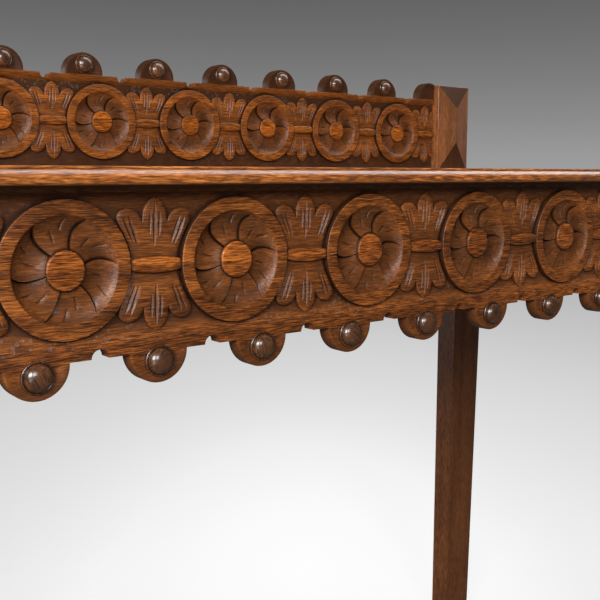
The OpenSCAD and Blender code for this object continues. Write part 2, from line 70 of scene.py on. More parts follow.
def mirror_x(shape):
    """The shape for the other end of the table, with its faces still outwards."""
    return shape[0] * np.array([-1, 1, 1]), [face[::-1] for face in shape[1]]


def smooth(t):
    """Rises from 0 to 1 with a soft start and end."""
    t = np.clip(t, 0, 1)
    return t * t * (3 - 2 * t)


def curve_through(points, step):
    """Smooth line through the points, about one point to each step."""
    p = np.array(points, float)
    q = np.vstack([2 * p[0] - p[1], p, 2 * p[-1] - p[-2]])
    parts = []
    for a, b, c, d in zip(q, q[1:], q[2:], q[3:]):
        t = np.linspace(0, 1, max(2, round(np.linalg.norm(c - b) / step)), endpoint=False)[:, None]
        parts.append(0.5 * (2 * b + (c - a) * t + (2 * a - 5 * b + 4 * c - d) * t ** 2
                            + (3 * b - a - 3 * c + d) * t ** 3))
    return np.vstack(parts + [p[-1:]])


def inset(loop, by):
    """Loop moved inwards, for a loop that runs anticlockwise."""
    before, after = loop - np.roll(loop, 1, 0), np.roll(loop, -1, 0) - loop
    left = [np.stack([-e[:, 1], e[:, 0]], 1) / np.linalg.norm(e, axis=1)[:, None] for e in (before, after)]
    reach = np.maximum(1 + (left[0] * left[1]).sum(1), 0.3)
    return loop + by * (left[0] + left[1]) / reach[:, None]


def distance(points, starts, ends):
    """Least distance from each point to the segments."""
    best = np.full(len(points), 1e9)
    for a, b in zip(starts, ends):
        along = b - a
        t = np.clip((points - a) @ along / (along @ along), 0, 1)
        best = np.minimum(best, np.linalg.norm(points - a - t[:, None] * along, axis=1))
    return best


def carved(loop, lines, spots, depth, back, arris, joined=None):
    """Closed solid with a carved face. The loop and lines lie in X and Z, depth gives how far the
    face lies behind Y = 0, and its edge is rounded by arris except where it is joined to more wood."""
    rings = [loop, inset(loop, 0.3 * arris), inset(loop, arris)]
    points, edges = [], []
    for line, closed in [(r, True) for r in rings] + [(np.array(line), False) for line in lines]:
        first, n = len(points), len(line)
        points += [tuple(p) for p in line]
        edges += [(first + i, first + i + 1) for i in range(n - 1)]
        if closed:
            edges.append((first + n - 1, first))
    points += [tuple(p) for p in spots]
    flat, _, tris, *_ = delaunay_2d_cdt([Vector(p) for p in points], edges, [], 1, 1e-4)
    flat = np.array(flat)
    keep = np.ones(len(loop), bool)
    if joined:
        keep = np.array([not (joined(*a) and joined(*b)) for a, b in zip(loop, np.roll(loop, -1, 0))])
    d = distance(flat, loop[keep], np.roll(loop, -1, 0)[keep])
    drop = arris - np.sqrt(np.maximum(arris ** 2 - np.maximum(arris - d, 0) ** 2, 0))
    face = np.stack([flat[:, 0], depth(flat[:, 0], flat[:, 1]) + drop, flat[:, 1]], 1)
    tris = [tuple(t) for t in tris]
    used = {(t[i], t[(i + 1) % 3]) for t in tris for i in range(3)}
    rim = {a: b for a, b in used if (b, a) not in used}
    start = next(iter(rim))
    order = [start]
    while rim[order[-1]] != start:
        order.append(rim[order[-1]])
    n = len(face)
    rear = face[order].copy()
    rear[:, 1] = back
    ring = range(len(order))
    walls = [(order[(i + 1) % len(order)], order[i], n + i, n + (i + 1) % len(order)) for i in ring]
    return np.vstack([face, rear]), tris + walls + [tuple(n + i for i in reversed(ring))]


def lathe(profile, turns):
    """Turned solid about the Y axis from (radius, proud) pairs that run from the rim to the middle."""
    a = np.arange(turns) * 2 * np.pi / turns
    rings = [np.stack([r * np.cos(a), np.full(turns, -h), r * np.sin(a)], 1) for r, h in profile]
    return rings_solid(rings)


def rings_solid(rings):
    """Closed solid through rings of points that run anticlockwise as seen from the front."""
    n = len(rings[0])
    faces = []
    for k in range(len(rings) - 1):
        for i in range(n):
            j = (i + 1) % n
            faces.append((k * n + i, k * n + j, (k + 1) * n + j, (k + 1) * n + i))
    faces.append(tuple(range(n))[::-1])
    last = (len(rings) - 1) * n
    faces.append(tuple(last + i for i in range(n)))
    return np.vstack(rings), faces


# Carved ornaments, each facing -Y with the rims at Y = 0

# Depth of the bowl from the button, at 0, to the rim, at 1
BOWL = ((0, .08, .2, .35, .5, .65, .78, .88, .95, 1), (2.3, 3.0, 3.9, 4.6, 4.9, 4.7, 3.9, 2.75, 1.5, .2))


def roundel():
    """Six whirling petals cut into a dished bowl, between a flat rim and a flat button."""
    bowl_r = ROUNDEL_R - RIM_W
    share = np.array([0, .012, .045, .11, .19, .27, .335, .37, .392, .41, .428, .45, .49, .54, .585,
                      .615, .634, .65, .666, .685, .72, .78, .85, .91, .955])
    radii = [(ROUNDEL_R + .4, 7), (ROUNDEL_R + .35, 5), (ROUNDEL_R + .05, .6), (ROUNDEL_R - .08, .25),
             (ROUNDEL_R - .3, .07), (ROUNDEL_R - .7, 0), (ROUNDEL_R - 3, -.06), (bowl_r + 3, -.05),
             (bowl_r + .8, 0), (bowl_r + .35, .08)]
    radii += [(r, None) for r in np.concatenate([[bowl_r, bowl_r - .5, bowl_r - 1.2],
                                                 np.linspace(bowl_r - 2, 18, 20), [17, 15.8, 14.6, 13.6, 13]])]
    radii += [(BUTTON_R + .1, 3.4), (BUTTON_R - .1, .7), (BUTTON_R - .3, .3), (BUTTON_R - .7, .06),
              (BUTTON_R - 1.4, 0), (6, -.08), (.4, -.1)]
    rings = []
    for r, flat in radii:
        t = np.clip((r - 13) / (bowl_r - 13), 0, 1)
        bend = np.clip(r, 13, bowl_r)
        twist = math.radians(11 - .043 * (bend - 19) ** 2)
        last = 1 - .4 / (bend * math.pi / 3)
        ring = []
        for petal in range(6):
            for s in np.append(share, last)[::-1]:
                a = math.pi / 3 * (petal - s) + twist
                y = flat
                if flat is None:
                    step = 2.3 * min(1, (1 - t) / .28) ** .9 * (.75 + .25 * min(1, t / .3))
                    y = np.interp(t, *BOWL) - step * (.5 - s ** 1.25)
                    y += min(1, (1 - t) / .2) * np.interp(s, (.9, .957, .98), (0, .5, 1.3))
                    for at, mid, half in ((.41, 22.2, 4.4), (.65, 28.4, 4)):
                        run = 1 - ((r - mid) / half) ** 2
                        if run > 0:
                            y += .8 * math.sqrt(run) * max(0, 1 - max((at - s) / .07, (s - at) / .022))
                    y = max(y, .12)
                ring.append((r * math.cos(a), y, r * math.sin(a)))
        rings.append(np.array(ring))
    return rings_solid(rings)


VEINS = [((.2, 40.8), (-.5, 11.2), 1.6), ((-3.4, 35.2), (-3.9, 19.4), 1.25), ((3.8, 35.6), (3.0, 18.4), 1.25),
         ((19.2, 33.0), (11.6, 12.8), 1.5), ((22.8, 31.8), (14.2, 12.4), 1.5),
         ((-19.2, 32.8), (-12.2, 12.6), 1.5), ((-23.1, 32.0), (-15.2, 14.4), 1.5)]


def leaf_spray():
    """Three rounded leaves that fan out from a spindle, with V-cut veins."""
    middle = curve_through([(9.2, 28), (8.9, 31.5), (8, 35.8), (5.6, 40.2), (2.5, 43), (0, 44.2)], .9)
    outer = curve_through([(17.2, 1), (17.5, 6), (19.1, 12.5), (21.4, 18.6), (24.2, 23.8), (26.3, 28),
                           (26.9, 31.8), (25, 35.1), (21.3, 36.8), (17.2, 36.5), (13.2, 34.5), (10.4, 31.2),
                           (9.2, 28)], .9)
    half = np.vstack([outer, middle[1:]])
    loop = np.vstack([half, (half * [-1, 1])[-2::-1]])
    base = np.linspace(loop[-1], loop[0], 20)[1:-1]
    loop = np.vstack([loop, base])
    cuts = [(np.array(a), np.array(b), w) for a, b, w in VEINS]
    lines = []
    for a, b, w in cuts:
        side = np.array([a[1] - b[1], b[0] - a[0]]) / np.linalg.norm(b - a)
        t = np.linspace(0, 1, 11)
        wide = w * np.sin(np.pi * t) ** .6
        wide[[0, -1]] = 0
        mid = a + t[:, None] * (b - a)
        lines += [mid, mid + side * wide[:, None], mid - side * wide[:, None]]
    x, z = np.meshgrid(np.arange(-26, 27, 2.3), np.arange(3, 43, 2.3))
    spots = np.stack([x.ravel(), z.ravel()], 1)
    ends = np.roll(loop, -1, 0)
    # Only the spots inside the leaf are kept, clear of its edge and of the veins
    level = spots[:, 1][:, None]
    wind = (loop[:, 1] > level) != (ends[:, 1] > level)
    with np.errstate(divide="ignore", invalid="ignore"):
        share = (level - loop[:, 1]) / (ends[:, 1] - loop[:, 1])
        cross = loop[:, 0] + share * (ends[:, 0] - loop[:, 0])
    spots = spots[((wind & (spots[:, 0][:, None] < cross)).sum(1) % 2) == 1]
    spots = spots[distance(spots, loop, ends) > 1.2]
    for a, b, w in cuts:
        spots = spots[distance(spots, [a], [b]) > w + .5]

    def depth(x, z):
        p = np.stack([x, z], 1)
        y = 3.4 - 1.2 * smooth((z - 6) / 18)
        y += .5 * np.clip(1 - distance(p, loop, ends) / 2.4, 0, 1) ** 2
        y += .03 * np.clip(np.abs(x) - 9, 0, 30)
        for a, b, w in cuts:
            along = b - a
            t = np.clip((p - a) @ along / (along @ along), 0, 1)
            wide = w * np.sin(np.pi * t) ** .6 + 1e-6
            off = np.linalg.norm(p - a - t[:, None] * along, axis=1)
            y += .8 * w * np.sin(np.pi * t) ** .6 * np.clip(1 - off / wide, 0, 1)
        return y

    up = carved(loop, lines, spots, depth, 7, .4)
    down = up[0] * [-1, 1, -1], up[1]
    return join(up, down)


def spindle():
    """Lens-shaped bar that lies between two roundels."""
    rings = []
    for s in np.sin(np.linspace(-1, 1, 17) * math.pi / 2):
        w = 3 + 2.3 * (1 - s * s) ** .8
        crest = .1 + .9 * s * s
        row = [(-1, 5), (-1, 1.5), (-.97, 1.0), (-.85, .55), (-.6, .2), (-.25, .03), (.25, .03), (.6, .2),
               (.85, .55), (.97, 1.0), (1, 1.5), (1, 5)]
        rings.append(np.array([(s * 19.8, y + crest - .1, w * z) for z, y in row]))
    return rings_solid(rings)


def boss():
    """Turned boss: a rounded ring, a groove and a dome."""
    r, t, d, h = BOSS_RING_R, BOSS_RING_T, BOSS_DOME_R, BOSS_DOME_H
    profile = [(r - .3, -4), (r - .05, -.2), (r, .3 * t), (r - .15, .5 * t), (r - .45, .66 * t), (r - .8, .7 * t),
               (r - 1.15, .66 * t), (r - 1.4, .58 * t), (r - 1.6, .5 * t)]
    low = .52 * t
    profile += [(d * math.cos(a) ** .95, low + (h - low) * math.sin(a))
                for a in np.linspace(.06, math.pi / 2 - .03, 18)]
    return lathe(profile, 56)


# Carved boards, with the roundels' centres at Z = 0 and the lobed edge below

def ground_depth(z, edge, slope):
    """The ground lies deep among the ornaments and rises to a plain band along the lobed edge."""
    return GROUND * smooth((z - edge - slope[0]) / slope[1])


def lobed_band(length, edge, lobes, lobe_r, lobe_drop, notches, thick, slope, top):
    """Plain band with lobes and small notches, each lobe hollowed a little round its boss."""
    notch_r = 6
    half = length / 2
    path = [(-half, edge)]
    over = math.asin(lobe_drop / lobe_r)
    for x in sorted(lobes + notches):
        if x in lobes:
            arc = [(lobe_r * math.cos(a), -lobe_drop - lobe_r * math.sin(a))
                   for a in np.linspace(math.pi + over, -over, 42)]
        else:
            arc = [(notch_r * math.cos(a), notch_r * math.sin(a)) for a in np.linspace(math.pi, 0, 13)]
        path += [(x + dx, edge + dz) for dx, dz in arc if abs(x + dx) < half - .5]
    path.append((half, edge if path[-1][1] >= edge - .1 else path[-1][1]))
    if path[1][1] < edge - .1:
        path[0] = (-half, path[1][1])
    path = np.array(path)
    n = int(length / 4)
    roof = np.stack([np.linspace(half, -half, n), np.full(n, edge + top)], 1)
    dense = [path[:1]]
    for a, b in zip(path, path[1:]):
        k = max(1, int(np.linalg.norm(b - a) / 2.5))
        dense.append(a + (b - a) * (np.arange(1, k + 1) / k)[:, None])
    loop = np.vstack(dense + [roof])
    spots = []
    for x in lobes:
        for r in np.arange(2, lobe_r - 1, 1.7):
            for a in np.linspace(math.pi, 2 * math.pi, max(5, int(r * 1.9))):
                spots.append((x + r * math.cos(a), edge - .7 + r * math.sin(a)))
    spots += [(x, edge + z) for x in np.arange(-half + 3, half - 2, 5) for z in (2, top - 1.5)
              if min(abs(x - n) for n in notches) > notch_r + 2]
    spots = np.array([s for s in spots if abs(s[0]) < half - 2])

    def depth(x, z):
        y = ground_depth(z, edge, slope)
        for lx in lobes:
            near = np.abs(x - lx) < lobe_r + 1
            inside = lobe_r - np.hypot(x - lx, z - edge + lobe_drop)
            y += np.where(near, 1.3 * smooth((inside - .6) / 9) * smooth((edge - z + .5) / 1.2), 0)
        return y

    lines = [[(max(x - lobe_r + 2, -half + 2), edge + o), (min(x + lobe_r - 2, half - 2), edge + o)]
             for x in lobes for o in (.45, -.65)]
    return carved(loop, lines, spots, depth, thick, .9, lambda x, z: z > edge + top - .01)


def ground_slab(length, low, high, edge, slope, thick, centres):
    """Board behind the ornaments, its ground cleared by hand and so a little uneven."""
    across = np.linspace(-length / 2, length / 2, int(length / 3.4))
    z = np.unique(np.concatenate([np.arange(low, low + 16, 1.3), np.arange(low + 16, high, 3.2), [high]]))
    gx, gz = np.meshgrid(across, z)
    rng = np.random.default_rng(11)
    wave = sum(np.sin(gx * math.cos(a) / s + gz * math.sin(a) / s + p) for a, s, p in
               zip(rng.uniform(0, 6.3, 9), rng.uniform(1.8, 4.5, 9), rng.uniform(0, 6.3, 9))) / 3
    y = ground_depth(gz, edge, slope) + .28 * np.clip(.5 + .5 * wave, 0, 1) * smooth((gz - low - 2) / 8)
    for x in centres:
        y = np.where(np.hypot(gx - x, gz) < ROUNDEL_R - 4, thick - 2.5, y)
    rows, cols = gx.shape
    face = np.stack([gx, y, gz], -1).reshape(-1, 3)

    def at(r, c):
        return r * cols + c

    faces = [(at(r, c), at(r, c + 1), at(r + 1, c + 1), at(r + 1, c))
             for r in range(rows - 1) for c in range(cols - 1)]
    ring = [at(0, c) for c in range(cols)] + [at(r, cols - 1) for r in range(1, rows)]
    ring += [at(rows - 1, c) for c in range(cols - 2, -1, -1)] + [at(r, 0) for r in range(rows - 2, 0, -1)]
    rear = face[ring].copy()
    rear[:, 1] = thick
    n, m = len(face), len(ring)
    faces += [(ring[(i + 1) % m], ring[i], n + i, n + (i + 1) % m) for i in range(m)]
    faces.append(tuple(n + i for i in range(m))[::-1])
    return np.vstack([face, rear]), faces


# Meshes

def mesh_of(name, shape):
    """Mesh in metres, with its faces outwards."""
    mesh = bpy.data.meshes.new(name)
    mesh.from_pydata((shape[0] * MM).tolist(), [], shape[1])
    mesh.update()
    bm = bmesh.new()
    bm.from_mesh(mesh)
    bmesh.ops.recalc_face_normals(bm, faces=bm.faces)
    bm.to_mesh(mesh)
    bm.free()
    return mesh


def merged(name, meshes):
    """One mesh out of several, which keep their order."""
    bm = bmesh.new()
    for mesh in meshes:
        bm.from_mesh(mesh)
    mesh = bpy.data.meshes.new(name)
    bm.to_mesh(mesh)
    bm.free()
    return mesh


def positions(mesh):
    """Array of the mesh's points, in metres."""
    co = np.empty(len(mesh.vertices) * 3, np.float32)
    mesh.vertices.foreach_get("co", co)
    return co.reshape(-1, 3).astype(float)


def worn_edges(mesh):
    """How far each point stands out from its neighbours, for edges rubbed pale by hands and cloths, and
    for creases, which sink in and get painted shade.
    """
    co = positions(mesh)
    normal = np.empty(len(co) * 3, np.float32)
    mesh.vertices.foreach_get("normal", normal)
    normal = normal.reshape(-1, 3)
    pair = np.empty(len(mesh.edges) * 2, np.int32)
    mesh.edges.foreach_get("vertices", pair)
    a, b = pair.reshape(-1, 2).T
    total, count = np.zeros_like(co), np.zeros(len(co))
    span = np.linalg.norm(co[a] - co[b], axis=1)
    for i, j in ((a, b), (b, a)):
        np.add.at(total, i, (co[j] - co[i]) / np.maximum(span, 1e-6)[:, None])
        np.add.at(count, i, 1)
    return np.clip(-(total * normal).sum(1) / np.maximum(count, 1), -1, 1)


def attribute(mesh, name, kind, values, domain="POINT"):
    """Stores values on the mesh for its material to read."""
    data = mesh.attributes.new(name, kind, domain).data
    data.foreach_set("vector" if kind == "FLOAT_VECTOR" else "value", np.asarray(values, np.float32).ravel())


def grained(mesh, axes, offset, stain=None, rubbed=None):
    """Gives each point its place in its own board (along the grain, across it and through it), how far
    its edge stands out (for paler wear, a painted sheen and painted shade in creases), and how much stain and painted
    shade it holds."""
    co = positions(mesh)
    grain = np.stack([co[:, "XYZ".index(a)] for a in axes], 1) + np.array(offset)
    attribute(mesh, "grain", "FLOAT_VECTOR", grain)
    worn = worn_edges(mesh)
    attribute(mesh, "worn", "FLOAT", worn if rubbed is None else rubbed(co, worn))
    if stain is None:
        # Painted shade: the front facets that slope up or down are painted darker, with a little more stain where
        # they cut across the grain
        cut = [1 if f.normal.y < -.9 and abs(f.normal.z) > .08 else .08 for f in mesh.polygons]
        attribute(mesh, "stain", "FLOAT", cut, "FACE")
    else:
        attribute(mesh, "stain", "FLOAT", stain(co))


def put(name, data):
    """New object in the scene."""
    obj = bpy.data.objects.new(name, data)
    bpy.context.scene.collection.objects.link(obj)
    return obj


def piece(name, mesh, material, replaced, angle=38):
    """Object on the table's one body, in place of these solids. Edges past the angle stay sharp."""
    obj = put(name, mesh)
    mesh.materials.clear()
    mesh.materials.append(material)
    if angle:
        mesh.shade_smooth()
        mesh.set_sharp_from_angle(angle=math.radians(angle))
    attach(obj, "root")
    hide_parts(*replaced)
    return obj


# Nodes and materials

def linear(code):
    """sRGB hex to linear RGBA."""
    parts = [int(code[i:i + 2], 16) / 255 for i in (1, 3, 5)]
    return tuple(c / 12.92 if c <= .04045 else ((c + .055) / 1.055) ** 2.4 for c in parts) + (1,)


def plug(tree, node, sockets):
    """Gives each socket a value or another node's output."""
    for key, value in sockets.items():
        if isinstance(value, bpy.types.NodeSocket):
            tree.links.new(value, node.inputs[key])
        else:
            node.inputs[key].default_value = value


def add(tree, kind, sockets=None, **settings):
    """Adds a node with its settings by name and its sockets plugged."""
    node = tree.nodes.new(kind)
    for name, value in settings.items():
        if name == "stops":
            while len(node.color_ramp.elements) < len(value):
                node.color_ramp.elements.new(.5)
            for element, (place, colour) in zip(node.color_ramp.elements, value):
                element.position, element.color = place, linear(colour)
        else:
            setattr(node, name, value)
    plug(tree, node, sockets or {})
    return node


def new_material(name):
    """Material with its node tree and its shader."""
    material = bpy.data.materials.new(name)
    material.use_nodes = True
    return material, material.node_tree, material.node_tree.nodes["Principled BSDF"]


def per_mm(along, across, through):
    """Scale that makes one feature of a pattern this many millimetres long, wide and thick."""
    return tuple(1000 / s for s in (along, across, through))


# Stain in the pores; stain and painted shade in shallow and in deep cuts; painted shade in the corners; and a painted
# pale glint on the stabs of the gouge
PORE, SHALLOW, DEEP, CORNER_SHADE, STAB_GLINT = map(linear, ("#2a160b", "#6a3e1f", "#381f0e", "#170d07", "#7d7370"))


def oak(name, dark, mid, light, turn=None, rough=(.30, .44), coat=.2, worn_share=.5, stain_and_shade_share=.9,
        spec=.4, relief=.35, coat_rough=.2, corner=.85, tooled=False):
    """Stained and waxed oak. The eye sees long fibres in brown on dark brown, short dark pores along
    them, slow bands of figure, paler rubbed edges and painted sheen, and painted shade in the hollows
    and corners. The grain follows the mesh's own attribute, or the X axis after a turn."""
    material, tree, shader = new_material(name)
    if turn is None:
        place = add(tree, "ShaderNodeAttribute", attribute_name="grain").outputs["Vector"]
    else:
        coords = add(tree, "ShaderNodeTexCoord")
        place = add(tree, "ShaderNodeMapping", {"Vector": coords.outputs["Object"], "Rotation": turn}).outputs[0]
    # The fibres wander by about 3 mm over 120 mm, and slow blotches of stain are 40 mm by 90 mm
    drift, blotch = [add(tree, "ShaderNodeTexNoise", {"Vector": add(tree, "ShaderNodeMapping", {
        "Vector": place, "Scale": per_mm(*size)}).outputs[0], "Scale": 1, "Detail": detail})
        for size, detail in (((120, 30, 40), 2), ((90, 40, 40), 3))]
    bend = add(tree, "ShaderNodeVectorMath", {0: drift.outputs["Color"], 1: (.5, .5, .5)}, operation="SUBTRACT")
    bend = add(tree, "ShaderNodeVectorMath", {0: bend.outputs[0], 1: (0, .006, .006)}, operation="MULTIPLY")
    wood = add(tree, "ShaderNodeVectorMath", {0: place, 1: bend.outputs[0]}).outputs[0]
    # Figure bands 11 mm wide, fibres 0.7 mm by 12 mm, pores 0.5 mm by 8 mm
    figure, fibre, pore = [add(tree, "ShaderNodeTexNoise", {"Vector": add(tree, "ShaderNodeMapping", {
        "Vector": wood, "Scale": per_mm(*size)}).outputs[0], "Scale": 1, "Detail": detail, "Roughness": uneven})
        for size, detail, uneven in (((260, 11, 17), 3, .5), ((12, .7, 1.4), 4, .62), ((8, .5, .9), 1, .5))]
    pores = add(tree, "ShaderNodeMapRange", {"Value": pore.outputs[0], "From Min": .54, "From Max": .68})
    tone = add(tree, "ShaderNodeMath", {0: figure.outputs[0], 1: .3}, operation="MULTIPLY")
    tone = add(tree, "ShaderNodeMath", {0: fibre.outputs[0], 1: .7, 2: tone.outputs[0]}, operation="MULTIPLY_ADD")
    colour = add(tree, "ShaderNodeValToRGB", {"Fac": tone.outputs[0]}, stops=[(.39, dark), (.5, mid), (.62, light)])
    porous = add(tree, "ShaderNodeMapRange", {"Value": figure.outputs[0], "From Min": .35, "From Max": .6,
                                              "To Min": .3, "To Max": .8})
    deep = add(tree, "ShaderNodeMath", {0: pores.outputs[0], 1: porous.outputs[0]}, operation="MULTIPLY")
    colour = add(tree, "ShaderNodeMix", {0: deep.outputs[0], 6: colour.outputs[0], 7: PORE},
                 data_type="RGBA")
    shade = add(tree, "ShaderNodeMapRange", {"Value": blotch.outputs[0], "From Min": .3, "From Max": .7,
                                            "To Min": .82, "To Max": 1.14})
    colour = add(tree, "ShaderNodeMix", {0: 1.0, 6: colour.outputs[2], 7: shade.outputs[0]},
                 data_type="RGBA", blend_type="MULTIPLY")
    rough_in = add(tree, "ShaderNodeMapRange", {"Value": fibre.outputs[0], "From Min": .3, "From Max": .7,
                                               "To Min": rough[1], "To Max": rough[0]}).outputs[0]
    if turn is None:
        # The mesh's stain, which also holds painted shade, and painted shade in creases darken the wood towards the
        # colour of a cut
        hollow = add(tree, "ShaderNodeAttribute", attribute_name="stain")
        worn = add(tree, "ShaderNodeAttribute", attribute_name="worn")
        crease_shade = add(tree, "ShaderNodeMapRange", {"Value": worn.outputs["Fac"], "From Min": -.05, "From Max": -.45,
                                               "To Max": .9 * corner})
        stain_and_shade_mix = add(tree, "ShaderNodeMath", {0: hollow.outputs["Fac"], 1: 1.4 * stain_and_shade_share, 2: crease_shade.outputs[0]},
                   operation="MULTIPLY_ADD", use_clamp=True)
        broken = add(tree, "ShaderNodeMapRange", {"Value": blotch.outputs[0], "From Min": .3, "From Max": .7,
                                                 "To Min": .84, "To Max": 1.0})
        stain_and_shade_mix = add(tree, "ShaderNodeMath", {0: stain_and_shade_mix.outputs[0], 1: broken.outputs[0]}, operation="MULTIPLY")
        deepest = add(tree, "ShaderNodeMath", {0: hollow.outputs["Fac"], 1: hollow.outputs["Fac"],
                                               2: crease_shade.outputs[0]}, operation="MULTIPLY_ADD", use_clamp=True)
        cut = add(tree, "ShaderNodeMix", {0: deepest.outputs[0], 6: SHALLOW, 7: DEEP},
                  data_type="RGBA")
        colour = add(tree, "ShaderNodeMix", {0: stain_and_shade_mix.outputs[0], 6: colour.outputs[2], 7: cut.outputs[2]},
                     data_type="RGBA")
        wear_and_sheen = add(tree, "ShaderNodeMapRange", {"Value": worn.outputs["Fac"], "From Min": .08, "From Max": .45,
                                              "To Max": worn_share})
        wear_and_sheen = add(tree, "ShaderNodeMath", {0: wear_and_sheen.outputs[0], 1: broken.outputs[0]}, operation="MULTIPLY")
        paler = add(tree, "ShaderNodeVectorMath", {0: colour.outputs[2], 1: (2.2, 2.0, 1.8)}, operation="MULTIPLY")
        colour = add(tree, "ShaderNodeMix", {0: wear_and_sheen.outputs[0], 6: colour.outputs[2], 7: paler.outputs[0]},
                     data_type="RGBA")
        # Rubbed edges are smoother, so they glint
        rough_in = add(tree, "ShaderNodeMath", {0: wear_and_sheen.outputs[0], 1: -.4, 2: rough_in},
                       operation="MULTIPLY_ADD").outputs[0]
    # Painted shade: the wood is darkened within about 5 mm of its corners, where shade falls. A carved board
    # has it in its own corners only, so its ground stays paler under the top
    open_sky = add(tree, "ShaderNodeAmbientOcclusion", {"Distance": .0048}, samples=6, only_local=tooled)
    corner_shading = add(tree, "ShaderNodeMapRange", {"Value": open_sky.outputs["AO"], "From Min": .88, "From Max": .4,
                                          "To Max": corner})
    colour = add(tree, "ShaderNodeMix", {0: corner_shading.outputs[0], 6: colour.outputs[2], 7: CORNER_SHADE},
                 data_type="RGBA")
    height = add(tree, "ShaderNodeMath", {0: pores.outputs[0], 1: -.7, 2: fibre.outputs[0]}, operation="MULTIPLY_ADD")
    if tooled:
        # Stabs of the gouge in the cleared ground, 3 mm across and about 5 mm apart, with a painted pale glint where
        # they catch the light
        mark = add(tree, "ShaderNodeAttribute", attribute_name="tooled")
        stab = add(tree, "ShaderNodeTexVoronoi", {"Vector": place, "Scale": 190.0})
        stab = add(tree, "ShaderNodeMapRange", {"Value": stab.outputs["Distance"], "From Min": .36, "From Max": .22})
        some = add(tree, "ShaderNodeMapRange", {"Value": drift.outputs[0], "From Min": .42, "From Max": .56})
        stab = add(tree, "ShaderNodeMath", {0: stab.outputs[0], 1: some.outputs[0]}, operation="MULTIPLY")
        stab = add(tree, "ShaderNodeMath", {0: stab.outputs[0], 1: mark.outputs["Fac"]}, operation="MULTIPLY")
        stab_glint = add(tree, "ShaderNodeMath", {0: stab.outputs[0], 1: .2}, operation="MULTIPLY")
        colour = add(tree, "ShaderNodeMix", {0: stab_glint.outputs[0], 6: colour.outputs[2], 7: STAB_GLINT},
                     data_type="RGBA")
        height = add(tree, "ShaderNodeMath", {0: stab.outputs[0], 1: -2.2, 2: height.outputs[0]},
                     operation="MULTIPLY_ADD")
    bump = add(tree, "ShaderNodeBump", {"Height": height.outputs[0], "Strength": relief, "Distance": .00035})
    plug(tree, shader, {"Base Color": colour.outputs[2], "Roughness": rough_in, "Normal": bump.outputs[0],
                        "IOR": 1.5, "Specular IOR Level": spec, "Coat Weight": coat, "Coat Roughness": coat_rough})
    return material


# Carved faces: warm brown with dark hollows, and paler where hands and cloths reach
CARVED = oak("oak_carved_stained_waxed", "#2a1507", "#753f19", "#bb6c2d", rough=(.36, .48), coat=.06, spec=.35,
             worn_share=.4, stain_and_shade_share=.78, tooled=True)
# The gallery's carving: more orange on the rims, darker in the bowls
CARVED_BACK = oak("oak_carved_gallery_stain_and_shade", "#2b1404", "#7e4312", "#c77324", rough=(.38, .5), coat=.06,
                  spec=.3, worn_share=.4, stain_and_shade_share=.75, tooled=True)
# Posts: milder brown facets, the sloped top and bottom ones dark with painted shade and a little more stain
POST = oak("oak_post_stained_waxed", "#5a3822", "#7e4f2e", "#a0673c", coat=.35, corner=.4, stain_and_shade_share=1)
# Bosses: dark brown and polished on the lathe, with one soft light on each dome
TURNED = oak("oak_turned_polished", "#2f1a0e", "#53321c", "#7c4d28", rough=(.27, .31), coat=.5, spec=.7, relief=.05)
# The top: orange brown boards under a full coat of wax, with a bright line along the edge
PLANED = oak("oak_planed_waxed", "#5a2e10", "#985823", "#cf8440", rough=(.3, .42), coat=1, coat_rough=.34, corner=.3,
             worn_share=.4, stain_and_shade_share=1)
# Legs and the underside of the top: plain brown with a dull wax
LEG = oak("oak_leg_stained_waxed", "#4c2b14", "#744424", "#92582f", rough=(.36, .5), coat=.1)
# Rails and pegs that show: stained but not waxed. Inner joinery: bare oak gone brown
ALONG, ACROSS, UPRIGHT = (0, 0, 0), (0, 0, math.pi / 2), (0, math.pi / 2, 0)
STAINED, BARE = ("#44260f", "#6f3f1c", "#945928"), ("#6e4a2a", "#8d6238", "#a87845")
RAIL_X = oak("oak_rail_stained_along", *STAINED, turn=ALONG, rough=(.4, .55), coat=0)
RAIL_Y = oak("oak_rail_stained_across", *STAINED, turn=ACROSS, rough=(.4, .55), coat=0)
PLAIN_X = oak("oak_inner_plain_along", *BARE, turn=ALONG, rough=(.55, .7), coat=0)
PLAIN_Y = oak("oak_inner_plain_across", *BARE, turn=ACROSS, rough=(.55, .7), coat=0)
PLAIN_Z = oak("oak_inner_plain_upright", *BARE, turn=UPRIGHT, rough=(.55, .7), coat=0)


def screw_steel():
    """Drawn steel wood screws gone dull: grey metal with fine turning marks and brown spots."""
    material, tree, shader = new_material("steel_drawn_dull")
    coords = add(tree, "ShaderNodeTexCoord")
    spots = add(tree, "ShaderNodeTexNoise", {"Vector": coords.outputs["Object"], "Scale": 700, "Detail": 3})
    colour = add(tree, "ShaderNodeValToRGB", {"Fac": spots.outputs[0]}, stops=[(.42, "#8d8a85"), (.62, "#5d4a3b")])
    rough = add(tree, "ShaderNodeMapRange", {"Value": spots.outputs[0], "To Min": .3, "To Max": .6})
    bump = add(tree, "ShaderNodeBump", {"Height": spots.outputs[0], "Strength": .2, "Distance": .0001})
    plug(tree, shader, {"Base Color": colour.outputs[0], "Roughness": rough.outputs[0], "Normal": bump.outputs[0],
                        "Metallic": 1})
    return material


# Rows of ornaments

